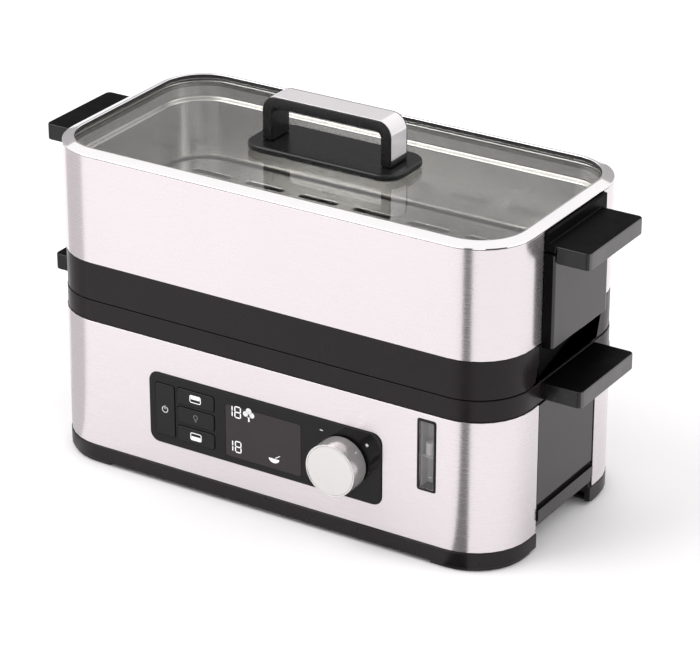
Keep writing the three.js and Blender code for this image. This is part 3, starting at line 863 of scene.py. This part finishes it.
def make_display_marks(front, knob_at):
    centre, half = box_centre("display_window")
    left = centre.x - half.x + 5.4 * MM
    for label, z in (("upper", centre.z + 10.6 * MM), ("lower", centre.z - 14.0 * MM)):
        polygons = digit("1", left - 3.2 * MM, z, 3.0 * MM, 7.6 * MM, 0.8 * MM)
        polygons += digit("8", left + 1.9 * MM, z, 4.2 * MM, 7.6 * MM, 0.8 * MM)
        print_on(f"digits_{label}", polygons, front, LIT, "base")
    make_leaf(centre.x - 10.6 * MM, centre.z + 14.4 * MM, front)
    make_bowl_mark(centre.x + 8.2 * MM, centre.z - 11.0 * MM, front)
    z = knob_at.z + 17.0 * MM
    print_on("minus_mark", [bar(knob_at.x - 16.3 * MM, z, 1.1 * MM, 0.3 * MM)], front, MARK, "base")
    x, z = knob_at.x + 17.0 * MM, knob_at.z + 15.5 * MM
    print_on("plus_mark", [bar(x, z, 1.2 * MM, 0.3 * MM)], front, MARK, "base")
    print_on("plus_mark_upright", [bar(x, z + 0.75 * MM, 0.3 * MM, 0.42 * MM),
                                   bar(x, z - 0.75 * MM, 0.3 * MM, 0.42 * MM)], front, MARK, "base")


def make_leaf(x, z, front):
    """A generic sprig: three round leaves on a stalk."""
    leaves = (("sprig_leaves", 1.9, -2.4, 0.6), ("sprig_leaves_right", 1.9, 2.4, 0.6),
              ("sprig_leaves_top", 2.1, 0.0, 3.0))
    for name, radius, right, up in leaves:
        leaf = disc(radius * MM, (x + right * MM, z + up * MM), 24)
        print_on(name, [leaf], front, MARK, "base")
    bends = ((-0.5, -4.4), (0.7, -4.4), (0.5, -1.9), (1.2, -1.2),
             (0, -1.4), (-1.2, -1.2), (-0.4, -1.9))
    stalk = [(x + right * MM, z + up * MM) for right, up in bends]
    print_on("sprig_stalk", [stalk], front, LIT, "base")


def make_bowl_mark(x, z, front):
    """A generic bowl with a spoon's handle over its edge."""
    steps = 16
    angles = [math.pi * (1 + i / steps) for i in range(steps + 1)]
    bowl = [(x + 3.9 * MM * math.cos(angle), z + 3.0 * MM * math.sin(angle)) for angle in angles]
    bends = ((0.6, 0.7), (4.4, 3.2), (4.7, 2.7), (1.4, 0.5))
    spoon = [(x + right * MM, z + up * MM) for right, up in bends]
    print_on("bowl_mark", [bowl], front, LIT, "base")
    print_on("spoon_mark", [spoon], front, MARK, "base")


def make_knob(centre, half):
    """A hollow turned body with a bright edge, and a spun face set into it."""
    front, back = centre.y - half.y, centre.y + half.y
    radius = half.x
    bore = 3.4 * MM
    edge, rim = 0.35 * MM, 0.7 * MM
    well = radius - rim - edge
    side = [
        (0, front + 2.1 * MM), (well, front + 2.1 * MM), (well, front + 0.25 * MM),
        (radius - rim, front + 0.02 * MM), (radius - edge, front),
        (radius - 0.1 * MM, front + 0.12 * MM), (radius, front + edge), (radius, back - 1.4 * MM),
        (radius - 0.25 * MM, back - 1.0 * MM), (radius - 0.25 * MM, back - 0.3 * MM),
        (radius - 0.5 * MM, back), (bore, back), (bore, front + 4.5 * MM), (0, front + 4.5 * MM)]
    body = lathe("knob_fine", side, (centre.x, centre.z), 128)
    show("knob_fine", body, KNOB_SIDE, "knob_body", ["knob"], sharp=30)
    face = [(0, front + 0.2 * MM), (well - 0.15 * MM, front + 0.2 * MM),
            (well - 0.05 * MM, front + 0.5 * MM), (well - 0.05 * MM, front + 2 * MM),
            (0, front + 2 * MM)]
    turned = lathe("knob_face", face, (centre.x, centre.z), 128)
    show("knob_face", turned, spun_steel("steel_spun", centre), "knob_body", sharp=30)


# ---------------------------------------------------------------- water window
def make_window():
    centre, half = box_centre("window_frame")
    front, back = centre.y - half.y, centre.y + half.y
    edge = 0.2 * MM
    at = (centre.x, centre.z)
    lip = 0.9 * MM
    rings = [outline(half.x, half.z, 1.4 * MM, at, -edge),
             outline(half.x - lip, half.z - lip, 0.9 * MM, at, edge)]
    frame_mesh = plate("window_frame_fine", rings, -back, -front, edge, True)
    show("window_frame_fine", frame_mesh, BLACK, "base", ["window_frame"])
    centre, half = box_centre("water_window")
    edge = 0.15 * MM
    border = outline(half.x, half.z, 0.8 * MM, at, -edge)
    face = centre.y - half.y
    pane = plate("water_window_fine", [border], -centre.y - half.y, -face, edge, True)
    show("water_window_fine", pane, WINDOW_GLASS, "base", ["water_window"])
    mark = bar(centre.x + half.x - 2.2 * MM, centre.z - half.z + 9 * MM, 1.2 * MM, 0.2 * MM)
    print_on("level_mark", [mark], face, MARK, "base")


# ---------------------------------------------------------------- reflections
CORNER = (133 * MM, -46 * MM)  # the axis that the cladding's front corners bend round
CORNER_AZIMUTH = 9.5
BACK_AZIMUTH = 180 + 32
LEFT_AZIMUTH = -75


def make_cards():
    """Cards that draw the dark line down the front corner and shade the back and the left end."""
    dark = card_finish("card_dark", 0.03)
    grey = card_finish("card_grey", 0.3)
    pale = card_finish("card_pale", 0.66)
    make_card("card_corner", CORNER_AZIMUTH, 0.30, 0.04, 0.0, 0.75, dark, CORNER)
    make_floor_strip("strip_corner", CORNER_AZIMUTH, 0.30, 0.04, dark, CORNER)
    make_card("card_back", BACK_AZIMUTH, 1.7, 1.3, 0.2, 1.3, grey)
    make_floor_strip("sheet_left", LEFT_AZIMUTH, 1.0, 0.5, pale, (-CORNER[0], CORNER[1]))


# ---------------------------------------------------------------- whole
make_camera()
make_floor(floor_finish())
make_light()
make_cards()
make_shells()
make_inner_parts()
make_upper_bowl()
refine("lower_bowl", BOWL_STEEL, 0.25)
make_tray()
make_lid()
make_controls()
make_window()
